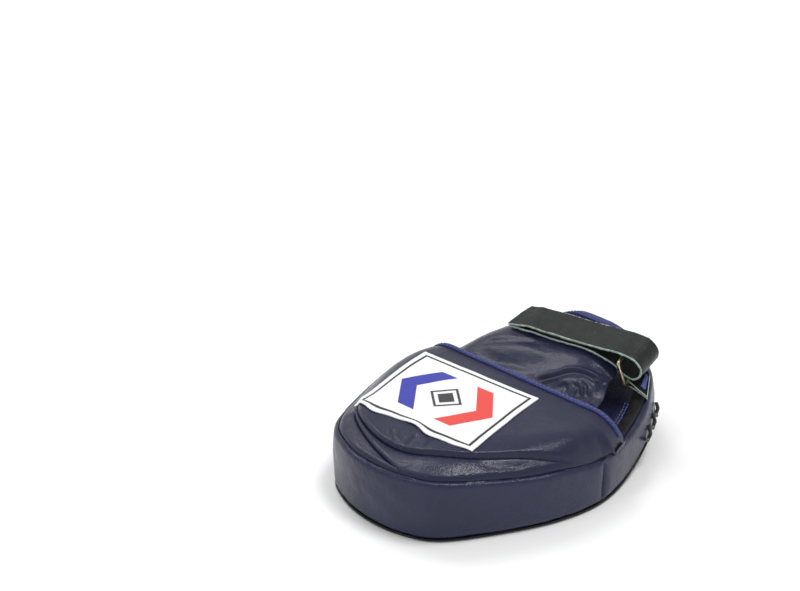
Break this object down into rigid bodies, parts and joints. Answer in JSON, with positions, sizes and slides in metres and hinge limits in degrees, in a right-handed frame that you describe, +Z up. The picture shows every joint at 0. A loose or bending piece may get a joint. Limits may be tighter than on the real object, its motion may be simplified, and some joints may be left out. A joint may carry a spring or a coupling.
{
  "type": "boxing focus mitt",
  "caption": "Bent leather focus mitt with a padded striking face, finger pocket, hand cover and a wrist strap that doubles back through a ring.",
  "frame": {"origin": "on the flat of the striking face, in the middle of the mitt's width, where the face begins to bend", "axes": "+Z up from the floor that the striking face rests on, -Y towards the finger end, +Y towards the wrist, +X the side the strap closes on"},
  "size_m": [0.2, 0.273, 0.0833],
  "materials": {
    "black_leather": "gloss",
    "navy_leather": "gloss",
    "blue_tape": "matte",
    "label_cloth": "matte",
    "lining_cloth": "matte",
    "strap_leather": "satin",
    "ring_brass": "satin",
    "soft_foam": "matte",
    "firm_foam": "matte",
    "hook_and_loop": "matte",
    "waxed_cord": "satin"
  },
  "bodies": {
    "pad": {"front_cover": "black_leather", "target_disc": "navy_leather", "strike_foam": "soft_foam", "core_foam": "firm_foam", "rear_foam": "firm_foam", "finger_wall": "navy_leather", "wrist_wall": "navy_leather", "lacing_cord": "waxed_cord", "back_panel": "navy_leather", "palm_facing": "black_leather", "palm_tape": "navy_leather", "palm_grip": "black_leather", "pocket_cover": "navy_leather", "pocket_padding": "soft_foam", "pocket_lining": "lining_cloth", "pocket_binding": "blue_tape", "label_patch": "label_cloth", "hand_cover": "navy_leather", "hand_cover_padding": "soft_foam", "hand_cover_lining": "lining_cloth", "hand_cover_binding": "blue_tape", "strap_run": "strap_leather", "loop_patch": "hook_and_loop", "ring_keeper": "black_leather", "keeper_bartack": "blue_tape"},
    "ring": {"ring": "ring_brass"},
    "strap_tail": {"strap_tail": "strap_leather", "hook_patch": "hook_and_loop"}
  },
  "joints": [
    {"name": "ring_pivot", "type": "hinge", "parent": "pad", "child": "ring", "pos_m": [0.05199, 0.09251, 0.05193], "axis": [-0.1392, 0.9565, 0.2563], "range_deg": [0, 18]},
    {"name": "strap_peel", "type": "hinge", "parent": "pad", "child": "strap_tail", "pos_m": [0.05347, 0.08549, 0.07894], "axis": [-0.1392, 0.9565, 0.2563], "range_deg": [0, 120]}
  ]
}
